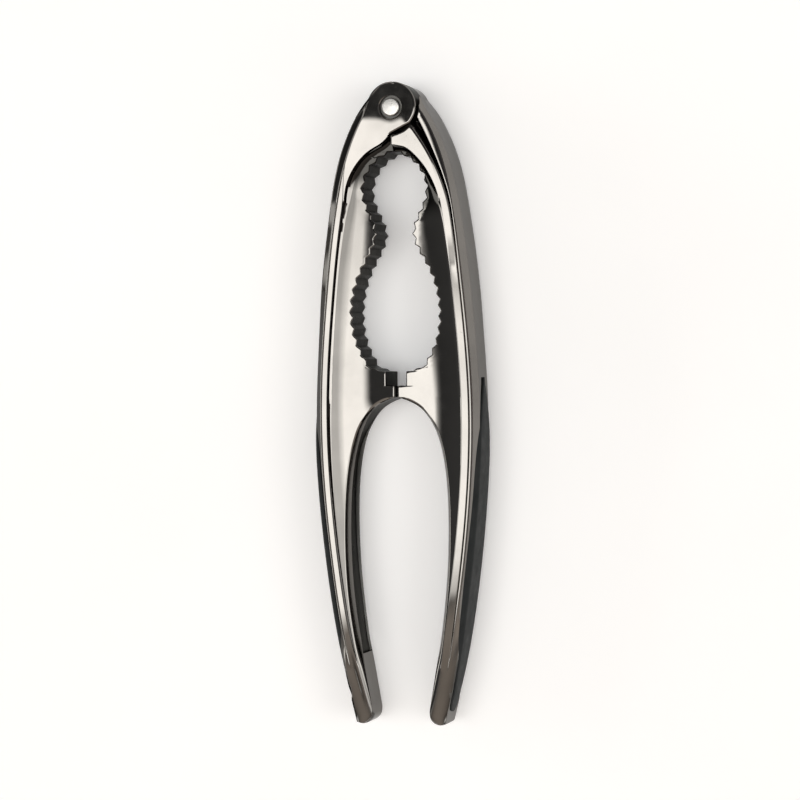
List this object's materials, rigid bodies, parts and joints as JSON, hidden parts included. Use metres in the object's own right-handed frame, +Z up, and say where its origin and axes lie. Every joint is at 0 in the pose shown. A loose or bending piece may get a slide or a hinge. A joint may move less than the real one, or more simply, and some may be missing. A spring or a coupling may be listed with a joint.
{
  "type": "lever nutcracker",
  "caption": "Lever nutcracker with toothed jaws, lap-jointed plated cast arms, a rivet pivot and inlaid handle grips; it opens sideways.",
  "frame": {"origin": "under the middle of the closed nutcracker, on the surface it lies on", "axes": "+Y along the closed nutcracker towards the head, +X across it to the right arm, +Z up out of the front face"},
  "size_m": [0.0448, 0.1654, 0.0157],
  "materials": {
    "plated_zinc": "mirror black-chrome plating on die-cast zinc",
    "grip_inlay": "matt soft-touch moulding",
    "rivet_steel": "turned steel with faint circular marks"
  },
  "bodies": {
    "left_side": {"left_arm": "plated_zinc", "left_grip": "grip_inlay", "pivot_rivet": "rivet_steel", "rivet_washer": "rivet_steel"},
    "right_side": {"right_arm": "plated_zinc", "right_grip": "grip_inlay"}
  },
  "joints": [
    {"name": "arm_pivot", "type": "hinge", "parent": "left_side", "child": "right_side", "pos_m": [0, 0.0761, 0.00785], "axis": [0, 0, 1], "range_deg": [0, 135]}
  ]
}
